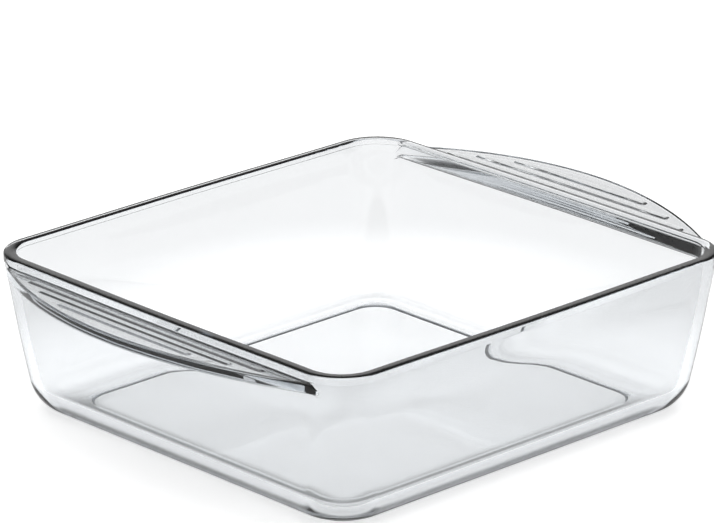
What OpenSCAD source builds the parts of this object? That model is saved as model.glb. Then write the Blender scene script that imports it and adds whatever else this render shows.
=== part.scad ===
// Rectangular glass oven dish with a ribbed, bow-shaped handle at each end.
// The dish is one pressing of glass. Its five regions are separate solids that meet face to face:
// the floor, the walls that rise from it, the rim bead on top of them, and a handle at each end.
// Origin: middle of the dish on the table. +X runs to one handle, +Z is up. Millimetres.

/* [Body] */
// Length over the rim, without the handles
body_l = 238; // [180:1:320]
// Width over the rim
body_w = 226; // [160:1:300]
// Height from the table to the top of the rim
body_h = 73; // [50:1:84]
// Radius of the rim's corners, outside
corner_r = 26; // [23:1:40]
// Slope of the walls from upright, in degrees
draft = 6.5; // [3:0.5:8]
// Thickness of the walls
wall_t = 5; // [3.5:0.25:7]
// Radius outside, from the walls to the underside
heel_r = 14; // [10:0.5:17]
// Radius inside, from the walls to the floor
inner_heel_r = 10; // [6:0.5:12]

/* [Floor] */
// Thickness of the floor
floor_t = 5.5; // [3.5:0.25:8]
// Depth of the shallow hollow that leaves the dish standing on its outer ring
recess_depth = 0.8; // [0.4:0.1:1.5]
// Width of the flat ring that the dish stands on
foot_w = 9; // [5:0.5:20]
// Corner radius of the hollow
recess_r = 14; // [4:1:30]

/* [Rim] */
// Height of the bead
rim_h = 3.6; // [2.5:0.1:6]
// How far the bead stands out from the wall
rim_lip = 1; // [0.5:0.1:2.5]

/* [Handles] */
// Reach of a handle past the rim
handle_reach = 27; // [18:0.5:40]
// Thickness of a handle
handle_t = 4.6; // [3.5:0.1:7]
// Slope of a handle, up towards its outer edge, in degrees
handle_rise = 6.5; // [0:0.5:10]

/* [Grip ribs] */
// Number of ribs on top of a handle
rib_count = 3; // [1:1:3]
// Width of a rib
rib_w = 3; // [2:0.1:3.8]
// Height of a rib
rib_h = 0.8; // [0.4:0.1:1.6]
// Spacing of the ribs
rib_pitch = 5.4; // [4.5:0.1:6]
// From the handle's outer edge to the middle of the outermost rib
rib_inset = 10.3; // [8:0.1:12]
// Smooth border between the ribs' ends and the handle's edge
rib_border = 4.2; // [2:0.1:6]

/* [Hidden] */
$fn = 96;
glass = [0.86, 0.91, 0.92, 0.55];

// Shape of the rounded edges, as a share of the height or thickness that they round
rim_edge_share = 0.46;
handle_edge_share = 0.42;
// A cut runs past the face that it cuts by this much
overrun = 1;

// Middles of the four corner arcs. A profile is drawn outwards from them: x is the distance from
// the corner's middle, y is the height.
corner_x = body_l / 2 - corner_r;
corner_y = body_w / 2 - corner_r;

// Outer and inner faces of the wall
rim_z = body_h - rim_h;
slope = tan(draft);
outer_foot = corner_r - rim_lip - rim_z * slope;
inner_foot = outer_foot - wall_t / cos(draft);
// The floor ends where the first of the two heel arcs starts
floor_edge = min(heel_middle(outer_foot, heel_r, 0)[0], heel_middle(inner_foot, inner_heel_r, floor_t)[0]);

// A handle's outer edge is a circle that touches both corners of the rim from outside
edge_x = body_l / 2 + handle_reach;
reach_x = edge_x - corner_x;
handle_r = (reach_x * reach_x + corner_y * corner_y - corner_r * corner_r) / (2 * handle_reach);
handle_x = edge_x - handle_r;
handle_angle = atan2(corner_y, corner_x - handle_x);
handle_edge_r = handle_t * handle_edge_share;
rim_edge_r = rim_h * rim_edge_share;

function wall_face(foot, z) = [foot + z * slope, z];

// Middle of the arc that leads from a level into the wall's face above it
function heel_middle(foot, r, level) = [foot + (level + r) * slope - r / cos(draft), level + r];

// The area inside a wall's face, from a level up to a height, with a round heel
module bowl_section(foot, r, level, height, from) {
    middle = heel_middle(foot, r, level);
    polygon([
        [from, level],
        [middle[0], level],
        middle,
        middle + r * [cos(draft), -sin(draft)],
        wall_face(foot, height),
        [from, height]
    ]);
    intersection() {
        translate(middle) circle(r);
        translate([middle[0], level]) square(r);
    }
}

// Cross-section of a wall, from the standing ring up to the bead and down inside to the floor
module wall_section() {
    difference() {
        bowl_section(outer_foot, heel_r, 0, rim_z, floor_edge);
        bowl_section(inner_foot, inner_heel_r, floor_t, rim_z + overrun, floor_edge - overrun);
    }
}

// Cross-section of the bead on top of the wall
module rim_section() {
    e = rim_edge_r;
    outer = corner_r - e;
    inner = wall_face(inner_foot, body_h - e)[0] + e / cos(draft);
    polygon([
        wall_face(inner_foot, rim_z),
        [outer, rim_z],
        [corner_r, rim_z + e],
        [corner_r, body_h - e],
        [outer, body_h],
        [inner, body_h],
        [inner, body_h - e] + e * [-cos(draft), sin(draft)]
    ]);
    translate([outer, rim_z + e]) circle(e);
    translate([outer, body_h - e]) circle(e);
    translate([inner, body_h - e]) circle(e);
}

// The area inside the outer faces of wall and bead, above the heel. A handle is cut to it.
module envelope_section() {
    e = rim_edge_r;
    polygon([
        [0, heel_r],
        wall_face(outer_foot, heel_r),
        wall_face(outer_foot, rim_z),
        [corner_r - e, rim_z],
        [corner_r, rim_z + e],
        [corner_r, body_h + overrun],
        [0, body_h + overrun]
    ]);
    translate([corner_r - e, rim_z + e]) circle(e);
}

// Runs a cross-section round the dish: a quarter turn at each corner and a straight stretch after it
module around() {
    for (k = [0 : 3]) {
        x = k % 2 == 0 ? corner_x : corner_y;
        y = k % 2 == 0 ? corner_y : corner_x;
        rotate(90 * k) translate([x, y, 0]) {
            rotate_extrude(angle = 90) children();
            rotate([90, 0, 0]) linear_extrude(height = 2 * y) children();
        }
    }
}

module dish_envelope() {
    around() envelope_section();
    translate([-corner_x, -corner_y, heel_r]) cube([2 * corner_x, 2 * corner_y, body_h + overrun - heel_r]);
}

// A plate with round corners, given by the middles of its corners
module round_plate(x, y, r, height) {
    linear_extrude(height = height) {
        square([2 * (x + r), 2 * y], center = true);
        square([2 * x, 2 * (y + r)], center = true);
        for (sx = [-1, 1], sy = [-1, 1]) translate([sx * x, sy * y]) circle(r);
    }
}

module floor() {
    edge_x = corner_x + floor_edge - foot_w - recess_r;
    edge_y = corner_y + floor_edge - foot_w - recess_r;
    color(glass) difference() {
        round_plate(corner_x, corner_y, floor_edge, floor_t);
        translate([0, 0, -overrun]) round_plate(edge_x, edge_y, recess_r, recess_depth + overrun);
    }
}

module walls() {
    color(glass) around() wall_section();
}

module rim() {
    color(glass) around() rim_section();
}

// One rib: a bar with round ends along Y
module rib(half_l) {
    linear_extrude(height = rib_h + handle_edge_r) {
        square([rib_w, 2 * half_l], center = true);
        for (s = [-1, 1]) translate([0, s * half_l]) circle(rib_w / 2);
    }
}

// The flat handle before it is tilted. Its top is at z = 0 and its outer edge is a part of a circle.
module handle_plate() {
    e = handle_edge_r;
    inner_r = handle_r - handle_reach - corner_r;
    translate([handle_x, 0, 0]) rotate(-handle_angle) rotate_extrude(angle = 2 * handle_angle, $fn = 4 * $fn) {
        polygon([
            [inner_r, -handle_t],
            [handle_r - e, -handle_t],
            [handle_r, -handle_t + e],
            [handle_r, -e],
            [handle_r - e, 0],
            [inner_r, 0]
        ]);
        for (z = [-handle_t + e, -e]) translate([handle_r - e, z]) circle(e, $fn = $fn / 4);
    }
}

module handle_ribs() {
    limit_r = handle_r - rib_border;
    for (i = [0 : rib_count - 1]) {
        x = edge_x - rib_inset - i * rib_pitch;
        outer = x + rib_w / 2 - handle_x;
        half_l = sqrt(limit_r * limit_r - outer * outer) - rib_w / 2;
        translate([x, 0, -handle_edge_r]) rib(half_l);
    }
}

// The handle on the +X end, tilted about its root line under the bead
module handle() {
    root_x = body_l / 2 - rim_lip;
    difference() {
        translate([root_x, 0, rim_z]) rotate([0, -handle_rise, 0]) translate([-root_x, 0, 0]) {
            handle_plate();
            handle_ribs();
        }
        dish_envelope();
    }
}

module handle_right() {
    color(glass) handle();
}

module handle_left() {
    color(glass) rotate(180) handle();
}

floor();
walls();
rim();
handle_left();
handle_right();
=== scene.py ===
# %% [markdown]
# # A pressed-glass oven dish
# The object is one pressing of clear glass: a nearly square dish with sloping walls, a rounded bead
# round its rim, and a bow-shaped handle at each end. The construction model is loaded as a fixed frame,
# and this script puts the glass round it: one closed surface, as a mould would form it, so that light
# bends only where the real dish bends it.

# %% Load the frame
import math

import bpy
import numpy as np
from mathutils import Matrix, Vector


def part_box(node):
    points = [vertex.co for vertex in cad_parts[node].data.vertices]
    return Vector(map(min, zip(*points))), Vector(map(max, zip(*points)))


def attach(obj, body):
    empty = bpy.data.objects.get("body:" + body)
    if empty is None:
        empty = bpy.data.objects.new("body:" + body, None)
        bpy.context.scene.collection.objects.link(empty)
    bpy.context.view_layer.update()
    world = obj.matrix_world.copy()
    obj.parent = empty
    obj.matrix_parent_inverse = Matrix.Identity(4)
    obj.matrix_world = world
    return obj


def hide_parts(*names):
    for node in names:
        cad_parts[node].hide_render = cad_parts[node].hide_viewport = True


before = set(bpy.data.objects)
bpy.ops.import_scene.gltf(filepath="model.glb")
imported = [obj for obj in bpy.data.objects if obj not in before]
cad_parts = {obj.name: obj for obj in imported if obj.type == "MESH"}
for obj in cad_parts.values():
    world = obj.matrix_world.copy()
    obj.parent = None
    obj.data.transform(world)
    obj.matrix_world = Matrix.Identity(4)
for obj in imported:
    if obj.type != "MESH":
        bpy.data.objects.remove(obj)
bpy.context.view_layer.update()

# %% [markdown]
# ## Sizes
# The outer sizes come from the frame, so the glass can't drift away from it. What the frame doesn't
# say, such as how round an edge is, is a named value here. Everything is in metres.

# %% Sizes of the dish
MM = 0.001
RIM_LO, RIM_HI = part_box("rim")
WALL_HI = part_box("walls")[1]
FLOOR_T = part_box("floor")[1].z
HANDLE_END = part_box("handle_right")[1].x

HALF_L, HALF_W, HEIGHT = RIM_HI.x, RIM_HI.y, RIM_HI.z
BEAD_Z = RIM_LO.z                      # underside of the rim bead
LIP = HALF_L - WALL_HI.x               # how far the bead stands out
WALL_T = 5.0 * MM
CORNER_R = 22 * MM                     # rim corner, outside
MIDDLE_X, MIDDLE_Y = HALF_L - CORNER_R, HALF_W - CORNER_R   # middles of the corner arcs
SLOPE = math.tan(math.radians(6.3))    # walls, from upright
HEEL_R, INNER_HEEL_R = 15.5 * MM, 11 * MM
OUTER_FOOT = WALL_HI.x - BEAD_Z * SLOPE
INNER_FOOT = OUTER_FOOT - WALL_T * math.hypot(1, SLOPE)
print("half length, half width, height (mm):", [round(v / MM, 1) for v in (HALF_L, HALF_W, HEIGHT)])
print("wall faces at the table, from the middle (mm):", round(OUTER_FOOT / MM, 1), round(INNER_FOOT / MM, 1))

# %% [markdown]
# ## Camera
# The camera comes first, because everything else is judged through it. A long lens from 2.3 m away
# keeps the sides of the dish almost parallel, as a product photograph does.

# %% Camera
IMAGE_W = 714
LENS_PIXELS = 5302
DISTANCE = 2.3265
AZIMUTH, ELEVATION = math.radians(-43.48), math.radians(19.95)
AIM_RIGHT, AIM_UP = -1.49 * MM, 63.41 * MM
SENSOR = 36                            # width in millimetres, as Blender counts it
VIEW_END = 50                          # the camera sees nothing further away than this


def make_camera():
    back = Vector((math.sin(AZIMUTH) * math.cos(ELEVATION), -math.cos(AZIMUTH) * math.cos(ELEVATION),
                   math.sin(ELEVATION)))
    right = Vector((math.cos(AZIMUTH), math.sin(AZIMUTH), 0))
    up = back.cross(right)
    data = bpy.data.cameras.new("camera")
    data.sensor_width = SENSOR
    data.lens = LENS_PIXELS / IMAGE_W * SENSOR
    data.clip_end = VIEW_END
    camera = bpy.data.objects.new("camera", data)
    bpy.context.collection.objects.link(camera)
    camera.location = back * DISTANCE + right * AIM_RIGHT + up * AIM_UP
    camera.rotation_euler = (-back).to_track_quat("-Z", "Y").to_euler()
    bpy.context.scene.camera = camera
    return camera


camera = make_camera()
print("camera at", [round(v, 3) for v in camera.location], "lens", round(camera.data.lens))

# %% [markdown]
# ## Drawing the section
# A mould maker draws this dish as a section: the outline that you would see if the dish were sawn
# through. The helpers below draw stretches of it as points: the distance from the dish's middle, and
# the height.

# %% Helpers for drawing a section


def arc(middle, radius, start, end, count):
    """Points on an arc, angles in degrees."""
    a = np.radians(np.linspace(start, end, count))
    return np.stack([middle[0] + radius * np.cos(a), middle[1] + radius * np.sin(a)], -1)


def line(start, end, count):
    """Points from start up to, but not at, end."""
    k = np.linspace(0, 1, count, endpoint=False)[:, None]
    return np.array(start) * (1 - k) + np.array(end) * k


def round_corner(corner, arriving, leaving, radius, count):
    """Arc that rounds the corner between two straight stretches, given by their unit directions."""
    corner, a, b = np.array(corner), -np.array(arriving), np.array(leaving)
    half = math.acos(float(np.clip(np.dot(a, b), -1, 1))) / 2
    start, end = corner + a * radius / math.tan(half), corner + b * radius / math.tan(half)
    middle = corner + (a + b) / np.linalg.norm(a + b) * radius / math.sin(half)
    first, last = (math.degrees(math.atan2(*(p - middle)[::-1])) for p in (start, end))
    return arc(middle, radius, first, first + (last - first + 180) % 360 - 180, count)


def unit(x, y):
    return np.array([x, y]) / math.hypot(x, y)


def smooth(k):
    """Soft step from 0 to 1."""
    k = np.clip(k, 0, 1)
    return k * k * (3 - 2 * k)


WALL_UP = unit(SLOPE, 1)
DRAFT = math.degrees(math.atan(SLOPE))


def heel(foot, radius, level, count):
    """The round heel that leads from a level face up into a wall's face."""
    middle_x = foot + (level + radius) * SLOPE - radius / math.cos(math.radians(DRAFT))
    return arc((middle_x, level + radius), radius, -90, -DRAFT, count)


# %% [markdown]
# ## Underside and outer wall
# The dish stands on a flat ring. Inside the ring the glass is a little hollow, and outside it a round
# heel leads into the wall. Near its top the wall swells out to meet the bead with hardly a step.

# %% Section below the handle
FOOT_W = 7.5 * MM
RECESS, RECESS_EDGE = 0.8 * MM, 1.6 * MM
FLAT_STEP = 0.8 * MM                   # first line of the mesh beyond a rounding, on the flat
RECESS_RINGS, HEEL_POINTS, WALL_POINTS = 5, 16, 15
HANDLE_ZONE = 61 * MM                  # the section is the same all round below this height
SWELL_Z, SEAM = 50 * MM, 0.3 * MM      # the wall swells above this height, and ends this far inside the bead


def swell(z):
    """How much further out the wall's outer face is than its straight line."""
    return (LIP - SEAM) * smooth((z - SWELL_Z) / (BEAD_Z - SWELL_Z))


def outer_low():
    rise = heel(OUTER_FOOT, HEEL_R, 0, HEEL_POINTS)
    ring = rise[0][0] - FOOT_W
    share = np.linspace(0, 1, RECESS_RINGS)
    recess = np.stack([ring - RECESS_EDGE * (1 - share), RECESS * (1 + np.cos(share * math.pi)) / 2], -1)
    flat = [(recess[0][0] - FLAT_STEP, RECESS)]
    wall = line(rise[-1], (OUTER_FOOT + HANDLE_ZONE * SLOPE, HANDLE_ZONE), WALL_POINTS)[1:]
    wall[:, 0] += swell(wall[:, 1])
    return np.concatenate([flat, recess, line((ring + FOOT_W / 3, 0), rise[0], 2), rise, wall])


print("points from the hollow up to the handle:", len(outer_low()))

# %% [markdown]
# ## The handle
# Each handle is a plate of glass that runs out from under the bead. Its outer edge is one circle that
# touches both corners of the rim, so the plate fades out exactly where the corner turns. That rule gives
# the circle's radius and, at every place round the dish, how far the plate reaches. The plate's edge is
# crisp: its upright face mirrors light back into the glass and so draws the dark line round the handle.

# %% Sizes of the handle
REACH = HANDLE_END - HALF_L
HANDLE_T = 4.6 * MM
HANDLE_EDGE_R = 1.1 * MM
HANDLE_RISE = math.tan(math.radians(6.5))
ROOT_R, TOP_ROOT_R = 1.6 * MM, 0.5 * MM
REACH_X = HANDLE_END - MIDDLE_X
CIRCLE_R = (REACH_X ** 2 + MIDDLE_Y ** 2 - CORNER_R ** 2) / (2 * REACH)
CIRCLE_X = HANDLE_END - CIRCLE_R
TOUCH = math.atan2(MIDDLE_Y, MIDDLE_X - CIRCLE_X)
RIB_COUNT, RIB_W, RIB_PITCH = 3, 3.0 * MM, 5.4 * MM
RIB_H, RIB_INSET, RIB_BORDER, RIB_ROUND = 0.5 * MM, 10.3 * MM, 4.2 * MM, 0.6 * MM
N_ROOT, N_EDGE, N_TOP_ROOT = 7, 6, 6   # points on each rounding
ZONE_STEP = 1 * MM                     # the handle's first point stands this much above its zone's lower end
print("handle edge radius (mm):", round(CIRCLE_R / MM, 1), "touches at", round(math.degrees(TOUCH), 1))


def rib_half_length(index):
    """A rib ends where its round end would come closer than the border to the handle's edge."""
    outer = HANDLE_END - RIB_INSET - index * RIB_PITCH + RIB_W / 2 - CIRCLE_X
    return math.sqrt((CIRCLE_R - RIB_BORDER) ** 2 - outer ** 2) - RIB_W / 2


print("rib half-lengths (mm):", [round(rib_half_length(i) / MM, 1) for i in range(RIB_COUNT)])

# %% [markdown]
# ## Lines across the handle
# The mesh needs its lines where the shape changes. Under the handle that is near the edge, and on top it
# is at the flanks of the ribs. Where the handle is too narrow for them all, they are squeezed together
# but keep their order, so that every section has the same number of points.

# %% Lines across the handle
PLATE_END = REACH - HANDLE_EDGE_R      # the flat of the plate ends here and its round edge starts
PLAIN_LINES = PLATE_END * np.array([0.1, 0.25, 0.4, 0.55, 0.7, 0.85, 0.96, 0.99])
ROOT_SHARES = (0.3, 0.7)               # lines between the bead and the first rib, as shares of the way
BORDER_SHARES = np.array([0.15, 0.35, 0.6, 0.85, 0.97])   # lines between the last rib and the edge
FLANK_LINES, FLANK_SPAN = 7, 1.1       # lines on a rib's flank, spread a little wider than its rounding
LINE_GAP = 0.05 * MM                   # lines that are squeezed together stay this far apart


def ribbed_lines():
    """Where the mesh's lines run across the top face: closest together at the flanks of the ribs."""
    flank = RIB_W / 2 + RIB_ROUND * np.linspace(-FLANK_SPAN, FLANK_SPAN, FLANK_LINES)
    across = np.concatenate([-flank[::-1], [0], flank])
    ribs = [REACH - RIB_INSET - i * RIB_PITCH + across for i in reversed(range(RIB_COUNT))]
    border = ribs[-1][-1] + (PLATE_END - ribs[-1][-1]) * BORDER_SHARES
    return np.concatenate([[ribs[0][0] * share for share in ROOT_SHARES], *ribs, border])


def squeeze(places, low, high):
    """Keeps the lines in order between low and high where the handle is too narrow for them all."""
    step = min(LINE_GAP, (high - low) / (len(places) + 1))
    order = np.arange(len(places))
    return np.clip(places, low + step * (order + 1), high - step * (len(places) - order))


print("lines under the handle and on top of it:", len(PLAIN_LINES), len(ribbed_lines()))

# %% [markdown]
# ## The handle's outline
# The outline starts on the wall, turns out through the root, follows the underside, goes round the edge
# and comes back over the top to the bead. Towards its ends the handle gets narrow, so each rounding is
# held to a share of the reach that is left there.

# %% Outline of the handle
EDGE_SHARE, ROOT_SHARE, TOP_ROOT_SHARE = 0.8, 0.5, 0.3   # most that a rounding may take of a short reach


def handle_section(reach):
    """Outer outline from the wall below the handle up to the bead's face."""
    out = unit(1, HANDLE_RISE)
    across = np.array([-out[1], out[0]])
    root_top = np.array([HALF_L - LIP, BEAD_Z])
    root_low = root_top - WALL_UP * HANDLE_T / np.dot(WALL_UP, across)
    edge_r = min(HANDLE_EDGE_R, EDGE_SHARE * reach)
    start = root_low + WALL_UP * (HANDLE_ZONE + ZONE_STEP - root_low[1]) / WALL_UP[1]
    root = round_corner(root_low, WALL_UP, out, min(ROOT_R, ROOT_SHARE * (reach + LIP)), N_ROOT)
    top_root_r = min(TOP_ROOT_R, TOP_ROOT_SHARE * reach)
    top_root = round_corner(root_top + out * LIP / out[0], -out, (0, 1), top_root_r, N_TOP_ROOT)
    tip_top = root_top + out * (LIP + reach - edge_r)
    tip_low = tip_top - across * HANDLE_T
    tilt = math.degrees(math.atan(HANDLE_RISE))
    edge_low = arc(tip_low + across * edge_r, edge_r, tilt - 90, tilt / 2, N_EDGE)
    edge_high = arc(tip_top - across * edge_r, edge_r, tilt / 2, tilt + 90, N_EDGE)
    below = squeeze(HALF_L + PLAIN_LINES, root[-1][0], tip_low[0])
    above = squeeze(HALF_L + ribbed_lines(), top_root[0][0], tip_top[0])[::-1]
    root[:, 0] += swell(root[:, 1])
    start[0] += swell(start[1])
    low_face = np.stack([below, tip_low[1] + (below - tip_low[0]) * HANDLE_RISE], -1)
    high_face = np.stack([above, tip_top[1] + (above - tip_top[0]) * HANDLE_RISE], -1)
    return np.concatenate([[start], root, low_face, edge_low, edge_high, high_face, top_root])


print("handle section:", len(handle_section(REACH)), "points, thickness (mm):", round(HANDLE_T / MM, 1))

# %% [markdown]
# ## The bead's side
# Where there is no handle, the wall swells up to a fine seam and the bead's upright side follows. The
# bead's top has only a slight crown, and its edges are finely rounded. Light that enters the top is
# mirrored by the upright side and stays in the glass, which is why the rim of a glass dish looks dark.

# %% Side of the bead
BEAD_LOW_R, BEAD_OUT_R, BEAD_IN_R = 0.2 * MM, 0.7 * MM, 0.7 * MM
N_SEAM, N_LOW = 5, 6                   # points on the roundings at the seam and at the bead's lower edge
LOW_START = -80                        # where the lower edge's rounding starts, in degrees
SEAM_R = 0.1 * MM                      # rounding where the wall meets the bead's underside
CROWN_OUT, CROWN_IN = (math.radians(a) for a in (3, 5))   # slope of the bead's top at its two edges


def crown_radius():
    """Radius of the bead's top: it leads from the round outer edge to the round inner edge."""
    room = (HALF_L - BEAD_OUT_R * (1 - math.sin(CROWN_OUT)) + BEAD_IN_R * math.sin(CROWN_IN) - INNER_FOOT
            - (HEIGHT - BEAD_IN_R * math.cos(CROWN_IN)) * SLOPE - BEAD_IN_R * math.hypot(1, SLOPE))
    return room / (math.sin(CROWN_OUT) + math.sin(CROWN_IN) + SLOPE * (math.cos(CROWN_IN) - 1))


CROWN_R = crown_radius()
CROWN_X = HALF_L - BEAD_OUT_R - (CROWN_R - BEAD_OUT_R) * math.sin(CROWN_OUT)
SIDE_TOP = HEIGHT - CROWN_R + (CROWN_R - BEAD_OUT_R) * math.cos(CROWN_OUT)
print("bead: crown radius, top of its side (mm):", round(CROWN_R / MM, 1), round(SIDE_TOP / MM, 2))


def plain_section(count):
    """The same stretch where there is no handle: the wall swells to the seam, and the bead's side follows."""
    under = np.array([HALF_L - SEAM, BEAD_Z])
    inset = round_corner(under, WALL_UP, (1, 0), SEAM_R, N_SEAM)
    low = arc((HALF_L - BEAD_LOW_R, BEAD_Z + BEAD_LOW_R), BEAD_LOW_R, LOW_START, 0, N_LOW)
    side = line(low[-1], (HALF_L, SIDE_TOP), N_TOP_ROOT + 1)[1:]
    left = count - N_SEAM - N_LOW - N_TOP_ROOT
    z = np.linspace(HANDLE_ZONE + ZONE_STEP, inset[0][1], left, endpoint=False)
    return np.concatenate([np.stack([OUTER_FOOT + z * SLOPE + swell(z), z], -1), inset, low, side])


HANDLE_POINTS = len(handle_section(REACH))
print("points across a handle:", HANDLE_POINTS)

# %% [markdown]
# ## Rim, inside and floor
# Over the bead's top the section turns down and follows the inner face of the wall. A wide round leads
# from there to the floor.

# %% Section of the rim and the inside
N_EDGE_ARC, N_CROWN, INSIDE_POINTS = 8, 10, 14


def rim_and_inside():
    out, inwards = 90 - math.degrees(CROWN_OUT), 90 + math.degrees(CROWN_IN)
    outer_side = arc((HALF_L - BEAD_OUT_R, SIDE_TOP), BEAD_OUT_R, 0, out, N_EDGE_ARC)
    top = arc((CROWN_X, HEIGHT - CROWN_R), CROWN_R, out, inwards, N_CROWN)[1:]
    level = HEIGHT - CROWN_R + (CROWN_R - BEAD_IN_R) * math.cos(CROWN_IN)
    inner = CROWN_X - (CROWN_R - BEAD_IN_R) * math.sin(CROWN_IN)
    inner_side = arc((inner, level), BEAD_IN_R, inwards, 180 - DRAFT, N_EDGE_ARC)[1:]
    low = heel(INNER_FOOT, INNER_HEEL_R, FLOOR_T, HEEL_POINTS)[::-1]
    wall = line(inner_side[-1], low[0], INSIDE_POINTS)[1:]
    return np.concatenate([outer_side, top, inner_side, wall, low, [low[-1] - (FLAT_STEP, 0)]])


print("points over the rim and down inside:", len(rim_and_inside()))

# %% [markdown]
# ## Stations round the dish
# A station is a place round the dish where the section is drawn: along a side, or turning round a
# corner. On the handles they stand closest together where a rib ends. Plain sides need few.

# %% Stations
PLAIN_STEPS, CORNER_STEPS = 34, 26
FINE, COARSE, END_ZONE = 0.5 * MM, 3.2 * MM, 2.6 * MM   # fine steps within the zone round a rib's end


def handle_side_shares():
    """Shares of the half-width at which a section is drawn along a handle."""
    ends = [rib_half_length(i) for i in range(RIB_COUNT)]
    places = [0.0]
    while places[-1] < MIDDLE_Y:
        near = min(abs(places[-1] - end) for end in ends)
        places.append(places[-1] + (FINE if near < END_ZONE else COARSE))
    half = np.array(places[:-1]) / MIDDLE_Y
    return np.concatenate([[-1], -half[:0:-1], half])


def stations():
    """For each station: which way it faces, and its place between the corners' middles."""
    facing, side = [], []
    for quarter in range(4):
        turn = np.linalg.matrix_power(np.array([[0, -1], [1, 0]]), quarter)
        on_handle = quarter % 2 == 0
        for t in handle_side_shares() if on_handle else np.linspace(-1, 1, PLAIN_STEPS, endpoint=False):
            facing.append(turn @ (1, 0))
            side.append(turn @ (1, t))
        for a in np.linspace(0, math.pi / 2, CORNER_STEPS, endpoint=False):
            facing.append(turn @ (math.cos(a), math.sin(a)))
            side.append(turn @ (1, 1))
    return np.array(facing, float), np.array(side, float)


def reach_at(facing, side):
    """How far the handle's plate stands out from the bead at a station."""
    fx, fy, y = abs(facing[0]), abs(facing[1]), abs(side[1]) * MIDDLE_Y
    if fx < math.cos(TOUCH):
        return 0.0
    dx = MIDDLE_X - CIRCLE_X
    along = dx * fx + y * fy
    return -along + math.sqrt(along ** 2 + CIRCLE_R ** 2 - dx ** 2 - y ** 2) - CORNER_R


FACING, SIDE = stations()
REACHES = np.array([reach_at(f, s) for f, s in zip(FACING, SIDE)])
print("stations:", len(FACING), "longest reach (mm):", round(REACHES.max() / MM, 1))

# %% [markdown]
# ## The grid of sections
# Python draws the sections next to each other as a grid and gives each point what it needs to know:
# which way its station faces, and where that station stands. The mesh is still flat here. Its X is the
# distance from the dish's middle and its Z the height. A closing face at each end covers the underside
# and the floor.

# %% Grid of sections
FADE = 1.6 * MM                        # the handle's plate melts into the bead over this much reach
NO_REACH = 0.01 * MM                   # less reach than this counts as no handle
RINGS_OUT = len(outer_low())


def section_at(reach):
    plain = plain_section(HANDLE_POINTS)
    if reach > NO_REACH:
        share = smooth(reach / FADE)
        plain = plain * (1 - share) + handle_section(reach) * share
    return np.concatenate([outer_low(), plain, rim_and_inside()])


def section_grid():
    rows = np.array([section_at(reach) for reach in REACHES])
    count, rings = rows.shape[:2]
    points = np.stack([rows[..., 0], np.zeros((count, rings)), rows[..., 1]], -1).reshape(-1, 3)
    faces = []
    for i in range(count):
        j = (i + 1) % count
        faces += [(i * rings + k, j * rings + k, j * rings + k + 1, i * rings + k + 1)
                  for k in range(rings - 1)]
    faces.append([i * rings for i in reversed(range(count))])
    faces.append([i * rings + rings - 1 for i in range(count)])
    return points, faces, rings


POINTS, FACES, RINGS = section_grid()
print("rings:", RINGS, "points:", len(POINTS), "faces:", len(FACES))

# %% [markdown]
# ## Short-hand for Geometry Nodes
# A tree of nodes is a formula drawn as boxes. This small class lets the script write the boxes as
# calls: `size` adds a named input to the tree, and `math` adds a Math node.

# %% A small helper for Geometry Nodes


class Tree:
    def __init__(self, name):
        self.group = bpy.data.node_groups.new(name, "GeometryNodeTree")
        self.nodes, self.links = self.group.nodes, self.group.links
        self.group.interface.new_socket("Geometry", in_out="INPUT", socket_type="NodeSocketGeometry")
        self.group.interface.new_socket("Geometry", in_out="OUTPUT", socket_type="NodeSocketGeometry")
        self.start = self.nodes.new("NodeGroupInput")
        self.values = {}

    def size(self, name, value):
        """Adds a named input and remembers the value that the modifier is to give it."""
        socket = self.group.interface.new_socket(name, in_out="INPUT", socket_type="NodeSocketFloat")
        self.values[socket.identifier] = value
        return self.start.outputs[name]

    def node(self, kind, inputs=(), **settings):
        node = self.nodes.new(kind)
        for key, value in settings.items():
            setattr(node, key, value)
        for name, value in dict(inputs).items():
            if isinstance(value, bpy.types.NodeSocket):
                self.links.new(value, node.inputs[name])
            else:
                node.inputs[name].default_value = value
        return node

    def math(self, operation, *values):
        return self.node("ShaderNodeMath", dict(enumerate(values)), operation=operation).outputs[0]

    def attribute(self, name, kind="FLOAT_VECTOR"):
        return self.node("GeometryNodeInputNamedAttribute", {"Name": name}, data_type=kind).outputs[0]

    def split(self, vector):
        return self.node("ShaderNodeSeparateXYZ", {0: vector}).outputs

    def join(self, x, y, z):
        return self.node("ShaderNodeCombineXYZ", {"X": x, "Y": y, "Z": z}).outputs[0]

    def finish(self, geometry, material):
        real = self.node("GeometryNodeRealizeInstances", {0: geometry}).outputs[0]
        painted = self.node("GeometryNodeSetMaterial", {"Geometry": real, "Material": material}).outputs[0]
        self.node("NodeGroupOutput", {0: painted})

    def attach(self, obj):
        modifier = obj.modifiers.new(self.group.name, "NODES")
        modifier.node_group = self.group
        for identifier, value in self.values.items():
            modifier[identifier] = value


print("tree helper ready")

# %% [markdown]
# ## Sweep the section round the dish
# This tree stands each point at its place: it starts from the middle of the corner arcs, which moves
# in a little towards the foot because the corners there are rounder than at the rim, and goes outwards.
# The sides also bow out by less than a millimetre, as the sides of pressed glass do.

# %% Tree for the sweep
LEAN, LEAN_TOP, LEAN_CURVE = 12 * MM, 60 * MM, 1.5
RECESS_TUCK = 10 * MM                  # the hollow's corners are rounder still, by this much
BOW = 0.8 * MM


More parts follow.
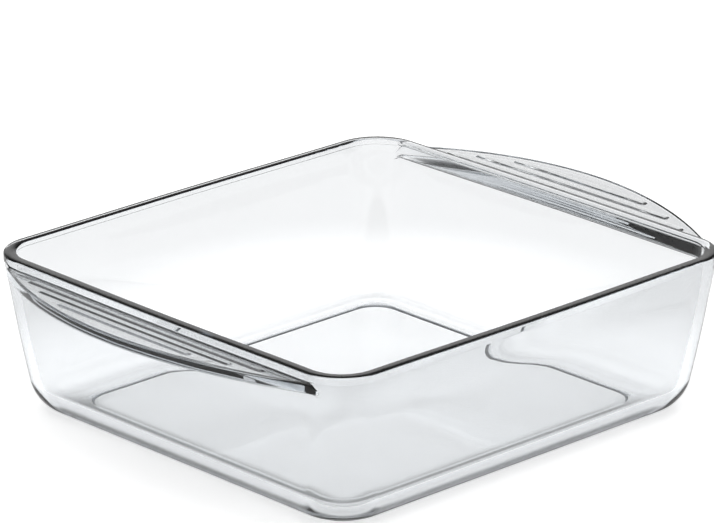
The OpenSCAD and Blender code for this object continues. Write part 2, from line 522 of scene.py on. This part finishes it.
def sweep_tree(material):
    tree = Tree("sweep the section round the dish")
    m = tree.math
    middle_x, middle_y = tree.size("Corner middle X", MIDDLE_X), tree.size("Corner middle Y", MIDDLE_Y)
    lean_by, lean_top = tree.size("Lean", LEAN), tree.size("Lean top", LEAN_TOP)
    lean_curve = tree.size("Lean curve", LEAN_CURVE)
    bow_by, height = tree.size("Bow", BOW), tree.size("Height", HEIGHT)
    distance, _, z = tree.split(tree.node("GeometryNodeInputPosition").outputs[0])
    facing_x, facing_y, _ = tree.split(tree.attribute("facing"))
    side_x, side_y, bow = tree.split(tree.attribute("side"))
    below = m("MAXIMUM", m("SUBTRACT", 1, m("DIVIDE", z, lean_top)), 0)
    tuck = m("MULTIPLY", tree.attribute("tuck", "FLOAT"), tree.size("Hollow tuck", RECESS_TUCK))
    lean = m("ADD", m("MULTIPLY", lean_by, m("POWER", below, lean_curve)), tuck)
    bowed = m("MULTIPLY", m("MULTIPLY", bow, bow_by), m("DIVIDE", z, height))
    out = m("ADD", m("ADD", m("SUBTRACT", distance, middle_x), lean), bowed)
    x = m("ADD", m("MULTIPLY", side_x, m("SUBTRACT", middle_x, lean)), m("MULTIPLY", facing_x, out))
    y = m("ADD", m("MULTIPLY", side_y, m("SUBTRACT", middle_y, lean)), m("MULTIPLY", facing_y, out))
    moved = tree.node("GeometryNodeSetPosition",
                      {"Geometry": tree.start.outputs["Geometry"], "Position": tree.join(x, y, z)})
    tree.finish(moved.outputs[0], material)
    return tree


# %% [markdown]
# ## Press the ribs
# Three grip ribs run along each handle. They are spaced by a rule, so the tree finds the nearest rib to
# each point, measures how far the point lies from that rib's bar with round ends, and moves the face by
# a soft step.

# %% Tree for the ribs


def rib_tree(material):
    tree = Tree("press the ribs")
    m = tree.math
    count, width = tree.size("Rib count", RIB_COUNT), tree.size("Rib width", RIB_W)
    height = tree.size("Rib height", RIB_H)
    pitch, first = tree.size("Rib pitch", RIB_PITCH), tree.size("First rib", HANDLE_END - RIB_INSET)
    rounding = tree.size("Rounding", RIB_ROUND)
    limit, circle_x = tree.size("Limit circle", CIRCLE_R - RIB_BORDER), tree.size("Circle middle", CIRCLE_X)
    distance = tree.attribute("distance", "FLOAT")
    _, y, _ = tree.split(tree.node("GeometryNodeInputPosition").outputs[0])
    steps = m("ROUND", m("DIVIDE", m("SUBTRACT", first, distance), pitch))
    index = m("MINIMUM", m("MAXIMUM", steps, 0), m("SUBTRACT", count, 1))
    rib_x = m("SUBTRACT", first, m("MULTIPLY", index, pitch))
    half_w = m("DIVIDE", width, 2)
    outer = m("SUBTRACT", m("ADD", rib_x, half_w), circle_x)
    chord = m("SQRT", m("SUBTRACT", m("MULTIPLY", limit, limit), m("MULTIPLY", outer, outer)))
    dx = m("SUBTRACT", distance, rib_x)
    dy = m("MAXIMUM", m("SUBTRACT", m("ABSOLUTE", y), m("SUBTRACT", chord, half_w)), 0)
    away = m("SQRT", m("ADD", m("MULTIPLY", dx, dx), m("MULTIPLY", dy, dy)))
    flank = {"Value": away, "From Min": m("SUBTRACT", half_w, rounding),
             "From Max": m("ADD", half_w, rounding), "To Min": 1.0, "To Max": 0.0}
    step = tree.node("ShaderNodeMapRange", flank, interpolation_type="SMOOTHSTEP").outputs[0]
    lift = m("MULTIPLY", m("MULTIPLY", step, height), tree.attribute("ribbed", "FLOAT"))
    moved = tree.node("GeometryNodeSetPosition",
                      {"Geometry": tree.start.outputs["Geometry"], "Offset": tree.join(0.0, 0.0, lift)})
    tree.finish(moved.outputs[0], material)
    return tree


# %% [markdown]
# ## The glass
# Clear glass shows what it bends and mirrors, and a faint tint. Each crossing of the surface takes a
# little light, which gives the walls their pale grey. The volume takes more the longer the way through
# it is, which darkens the rim and the edges, where light is caught. A slow, weak noise in the bump
# stands for the faint waves that pressing leaves.

# %% Glass material
IOR = 1.5
SURFACE_TINT = (0.87, 0.875, 0.878)
DEPTH_TINT, DEPTH_DENSITY = (0.80, 0.815, 0.83), 90.0
WAVES = 22.0                           # waves per metre
WAVE_DEPTH = 0.1 * MM


def glass_material():
    material = bpy.data.materials.new("pressed_glass")
    material.use_nodes = True
    nodes, links = material.node_tree.nodes, material.node_tree.links
    shader = nodes["Principled BSDF"]
    shader.inputs["Base Color"].default_value = (*SURFACE_TINT, 1)
    shader.inputs["Roughness"].default_value = 0.0
    shader.inputs["IOR"].default_value = IOR
    shader.inputs["Transmission Weight"].default_value = 1.0
    place = nodes.new("ShaderNodeTexCoord")
    noise = nodes.new("ShaderNodeTexNoise")
    noise.inputs["Scale"].default_value = WAVES
    noise.inputs["Detail"].default_value = 1.0
    bump = nodes.new("ShaderNodeBump")
    bump.inputs["Strength"].default_value = 1.0
    bump.inputs["Distance"].default_value = WAVE_DEPTH
    links.new(place.outputs["Object"], noise.inputs["Vector"])
    links.new(noise.outputs["Fac"], bump.inputs["Height"])
    links.new(bump.outputs["Normal"], shader.inputs["Normal"])
    absorb = nodes.new("ShaderNodeVolumeAbsorption")
    absorb.inputs["Color"].default_value = (*DEPTH_TINT, 1)
    absorb.inputs["Density"].default_value = DEPTH_DENSITY
    links.new(absorb.outputs["Volume"], nodes["Material Output"].inputs["Volume"])
    return material


GLASS = glass_material()
print("material:", GLASS.name)

# %% [markdown]
# ## Make the dish
# The grid becomes an object, both trees are attached and given their sizes, and the result is taken as a
# plain mesh. The helper attributes have done their work by then and are dropped.

# %% Build the dish
HELPERS = ("facing", "side", "distance", "ribbed", "tuck")


def dish_mesh():
    mesh = bpy.data.meshes.new("dish_grid")
    mesh.from_pydata(POINTS.tolist(), [], FACES)
    share = np.where(np.abs(SIDE[:, 0]) == 1, SIDE[:, 1], SIDE[:, 0])
    bow = (1 - share ** 2) ** 2
    first = RINGS_OUT + 1 + N_ROOT + len(PLAIN_LINES) + 2 * N_EDGE
    ribbed = np.zeros(RINGS)
    ribbed[first:first + len(ribbed_lines())] = 1
    tuck = np.zeros(RINGS)
    tuck[:RECESS_RINGS + 1] = 1
    values = {"facing": np.repeat(np.column_stack([FACING, np.zeros(len(FACING))]), RINGS, 0),
              "side": np.repeat(np.column_stack([SIDE, bow]), RINGS, 0),
              "distance": POINTS[:, 0], "ribbed": np.outer(REACHES > FADE, ribbed),
              "tuck": np.tile(tuck, len(FACING))}
    for name in HELPERS:
        kind, key = ("FLOAT_VECTOR", "vector") if name in HELPERS[:2] else ("FLOAT", "value")
        mesh.attributes.new(name, kind, "POINT").data.foreach_set(key, values[name].ravel())
    return mesh


def bake(obj, name):
    """Takes the evaluated object as a plain mesh and drops the modifiers."""
    mesh = bpy.data.meshes.new_from_object(obj.evaluated_get(bpy.context.evaluated_depsgraph_get()))
    obj.modifiers.clear()
    obj.data = mesh
    mesh.name = name
    for helper in HELPERS:
        mesh.attributes.remove(mesh.attributes[helper])
    mesh.shade_smooth()


def make_dish():
    dish = bpy.data.objects.new("glass_dish", dish_mesh())
    bpy.context.collection.objects.link(dish)
    sweep_tree(GLASS).attach(dish)
    rib_tree(GLASS).attach(dish)
    bake(dish, "glass_dish")
    return dish


dish = make_dish()
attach(dish, "root")
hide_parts("floor", "walls", "rim", "handle_left", "handle_right")
corners = [[pick(v.co[i] for v in dish.data.vertices) for i in range(3)] for pick in (min, max)]
triangles = sum(len(p.vertices) - 2 for p in dish.data.polygons)
print("dish from", *([round(v / MM, 1) for v in corner] for corner in corners), "mm,", triangles, "triangles")

# %% [markdown]
# ## Light
# Glass shows its surroundings, so these are part of its look. Seen from the dish, a white strip stands
# above a dark horizon, a dark band follows, and a bright soft ceiling closes the room. The strip and the
# floor fill the glass with white, and the dark bands draw the lines along rim, ribs and edges. The
# ceiling makes up for the bands, so that a colour still renders about as it is written.

# %% World
ROOM = ((0, 0.0), (9, 0.05), (12, 1.0), (19, 1.0), (23, 0.12), (38, 0.12), (48, 1.0), (60, 1.75), (90, 1.75))


def make_world():
    world = bpy.data.worlds.new("studio")
    bpy.context.scene.world = world
    world.use_nodes = True
    nodes, links = world.node_tree.nodes, world.node_tree.links
    nodes.clear()
    place = nodes.new("ShaderNodeTexCoord")
    split = nodes.new("ShaderNodeSeparateXYZ")
    bands = nodes.new("ShaderNodeValToRGB")
    bands.color_ramp.interpolation = "EASE"
    brightest = max(level for _, level in ROOM)
    stops = bands.color_ramp.elements
    stops.remove(stops[-1])
    for index, (elevation, level) in enumerate(ROOM):
        stop = stops.new(math.sin(math.radians(elevation))) if index else stops[0]
        stop.color = (level / brightest, level / brightest, level / brightest, 1)
    links.new(place.outputs["Generated"], split.inputs[0])
    links.new(split.outputs["Z"], bands.inputs[0])
    room, white = nodes.new("ShaderNodeBackground"), nodes.new("ShaderNodeBackground")
    links.new(bands.outputs[0], room.inputs["Color"])
    room.inputs["Strength"].default_value = brightest
    white.inputs["Color"].default_value = (1, 1, 1, 1)
    path = nodes.new("ShaderNodeLightPath")
    mix = nodes.new("ShaderNodeMixShader")
    links.new(path.outputs["Is Camera Ray"], mix.inputs[0])
    links.new(room.outputs[0], mix.inputs[1])
    links.new(white.outputs[0], mix.inputs[2])
    links.new(mix.outputs[0], nodes.new("ShaderNodeOutputWorld").inputs["Surface"])


def light_on_floor():
    """What the room lays on a level surface, as a share of what an all-white room would."""
    edges = np.sin(np.radians([elevation for elevation, _ in ROOM])) ** 2
    levels = np.array([level for _, level in ROOM])
    return float(np.sum(np.diff(edges) * (levels[1:] + levels[:-1]) / 2))


make_world()
print("light on a level surface:", round(light_on_floor(), 2))

# %% [markdown]
# ## Floor
# The floor is white where nothing shades it, and keeps the soft shadow of the dish. Its own paint is
# pale, and a little light of its own brings it up to white for the camera and for the glass. For the glass
# this light is painted: it changes with place, as the next cells show. This cell holds the short-hands
# for its shader: a Math node, a Vector Math node and a soft step, each as one call.

# %% Short-hand for shader nodes


def shader_math(nodes, links, operation, first, second=0.0):
    node = nodes.new("ShaderNodeMath")
    node.operation = operation
    for socket, value in zip(node.inputs, (first, second)):
        if isinstance(value, bpy.types.NodeSocket):
            links.new(value, socket)
        else:
            socket.default_value = value
    return node.outputs[0]


def vector_math(nodes, links, operation, vector, by=(0, 0, 0)):
    node = nodes.new("ShaderNodeVectorMath")
    node.operation = operation
    links.new(vector, node.inputs[0])
    node.inputs[1].default_value = by
    return node.outputs["Value" if operation in ("LENGTH", "DOT_PRODUCT") else "Vector"]


def soft_range(nodes, links, value, low, high, at_low, at_high):
    step = nodes.new("ShaderNodeMapRange")
    step.interpolation_type = "SMOOTHSTEP"
    for name, number in (("From Min", low), ("From Max", high), ("To Min", at_low), ("To Max", at_high)):
        step.inputs[name].default_value = number
    links.new(value, step.inputs["Value"])
    return step.outputs[0]


print("shader helpers ready")

# %% [markdown]
# ## The floor's own light
# What is seen through glass gets most of this light under the dish, where the shadow is deepest, and less
# outside it: a painted fill light. Right under the near foot there is none, so the matt floor's real close
# shadow shows there. But the band is drawn by place and on the near side only, so the grey band along the
# foot is painted shadow as well. In a view from above, the rays come down steeply. They see no such painted
# shadow and less light, or the clear floor of the dish and its handles would vanish in the white.

# %% Light of the floor as seen through glass
THROUGH_GLOW = 0.98                    # painted fill light under the dish
OPEN_GLOW, OPEN_FROM, OPEN_TO = 0.26, 5 * MM, 130 * MM   # outside it, and the way over which it changes
STAND = heel(OUTER_FOOT, HEEL_R, 0, 2)[0][0]             # outer edge of the ring that the dish stands on
STAND_CORNER = 20 * MM
SHADE_AT, SHADE_HALF, SHADE_SOFT = -1 * MM, 6 * MM, 9 * MM   # painted close shadow, from the edge of that ring
SHADE_END = 20 * MM                    # it fades out over this much at the left and right corners
SHADE_SLANT = (0.45, 0.7)              # and between these steepnesses of a ray: 0 is level, 1 straight down
GLOW_SLANT, STEEP_GLOW = (0.5, 0.85), 0.6                # steep rays see only this share of the light


def from_stand(nodes, links, place):
    """Distance along the floor from the edge of the ring that the dish stands on, negative inside it."""
    above_all = HEIGHT                 # the floor lies below this, so its height adds nothing to the distance
    middle = (STAND - STAND_CORNER, STAND - HALF_L + HALF_W - STAND_CORNER, above_all)
    folded = vector_math(nodes, links, "ABSOLUTE", place)
    beyond = vector_math(nodes, links, "MAXIMUM", vector_math(nodes, links, "SUBTRACT", folded, middle))
    return shader_math(nodes, links, "SUBTRACT", vector_math(nodes, links, "LENGTH", beyond), STAND_CORNER)


def through_light(nodes, links):
    """Painted light of the floor through glass: most under the dish, a painted shadow under its near foot."""
    place = nodes.new("ShaderNodeTexCoord").outputs["Object"]
    around = from_stand(nodes, links, place)
    # painted fill light: more glow under the dish, where its shadow falls, than outside it
    under = soft_range(nodes, links, around, OPEN_FROM, OPEN_TO, THROUGH_GLOW, OPEN_GLOW)
    away = shader_math(nodes, links, "ABSOLUTE", shader_math(nodes, links, "SUBTRACT", around, SHADE_AT))
    close = soft_range(nodes, links, away, SHADE_HALF, SHADE_HALF + SHADE_SOFT, 1.0, 0.0)
    towards = vector_math(nodes, links, "DOT_PRODUCT", place, (-1, -1, 0))
    near = soft_range(nodes, links, towards, -SHADE_END, SHADE_END, 0.0, 1.0)
    towards_eye = nodes.new("ShaderNodeNewGeometry").outputs["Incoming"]
    steep = vector_math(nodes, links, "DOT_PRODUCT", towards_eye, (0, 0, 1))
    shaded = soft_range(nodes, links, steep, *SHADE_SLANT, 1.0, 0.0)
    dimmed = soft_range(nodes, links, steep, *GLOW_SLANT, 1.0, STEEP_GLOW)
    # painted shadow: the floor's glow is taken away in a band under the near foot
    painted_shade = shader_math(nodes, links, "MULTIPLY", shader_math(nodes, links, "MULTIPLY", close, near), shaded)
    clear = shader_math(nodes, links, "SUBTRACT", 1.0, painted_shade)
    return shader_math(nodes, links, "MULTIPLY", shader_math(nodes, links, "MULTIPLY", under, dimmed), clear)


print("standing ring: outer edge (mm):", round(STAND / MM, 1))

# %% [markdown]
# ## The floor itself
# Light Path tells the shader who is looking: the camera, a ray through glass or a mirrored ray. Each gets
# its own share of the floor's light, and the matt paint under it catches the shadow.

# %% Floor
FLOOR_SIZE = 30.0
FLOOR_Z = -0.1 * MM                    # a hair below the glass, so that the two faces stay apart
FLOOR_COLOUR = 0.88
CAMERA_GLOW, MIRROR_GLOW = 0.5, 0.1    # light of its own for the camera, and mirrored in the glass


def floor_material():
    material = bpy.data.materials.new("studio_floor")
    material.use_nodes = True
    nodes, links = material.node_tree.nodes, material.node_tree.links
    nodes.clear()
    matt = nodes.new("ShaderNodeBsdfDiffuse")
    matt.inputs["Color"].default_value = (FLOOR_COLOUR, FLOOR_COLOUR, FLOOR_COLOUR, 1)
    path = nodes.new("ShaderNodeLightPath")
    level = 0.0
    # rays through glass get the painted fill light and painted shadow of through_light
    for ray, share in (("Is Camera Ray", CAMERA_GLOW), ("Is Transmission Ray", through_light(nodes, links)),
                       ("Is Glossy Ray", MIRROR_GLOW)):
        part = shader_math(nodes, links, "MULTIPLY", path.outputs[ray], share)
        level = shader_math(nodes, links, "ADD", part, level)
    glow = nodes.new("ShaderNodeEmission")
    links.new(level, glow.inputs["Strength"])
    both = nodes.new("ShaderNodeAddShader")
    links.new(matt.outputs[0], both.inputs[0])
    links.new(glow.outputs[0], both.inputs[1])
    links.new(both.outputs[0], nodes.new("ShaderNodeOutputMaterial").inputs["Surface"])
    return material


def make_floor():
    mesh = bpy.data.meshes.new("studio_floor")
    half = FLOOR_SIZE / 2
    corners = [(x * half, y * half, FLOOR_Z) for x, y in ((-1, -1), (1, -1), (1, 1), (-1, 1))]
    mesh.from_pydata(corners, [], [(0, 1, 2, 3)])
    mesh.materials.append(floor_material())
    floor = bpy.data.objects.new("studio_floor", mesh)
    bpy.context.collection.objects.link(floor)


make_floor()
print("floor:", FLOOR_SIZE, "m wide")

# %% [markdown]
# ## How far light is followed
# A ray crosses many faces of the glass before it gets out, so it is followed for long. Light that is
# mirrored again and again inside is let go after a few turns: it is what the dark lines are made of.

# %% Rendering limits for glass
BOUNCES, MIRRORED_BOUNCES = 24, 7
scene = bpy.context.scene
scene.view_settings.view_transform = "Standard"
scene.cycles.max_bounces = BOUNCES
scene.cycles.transmission_bounces = BOUNCES
scene.cycles.glossy_bounces = MIRRORED_BOUNCES
print("light is followed for", scene.cycles.max_bounces, "bounces")
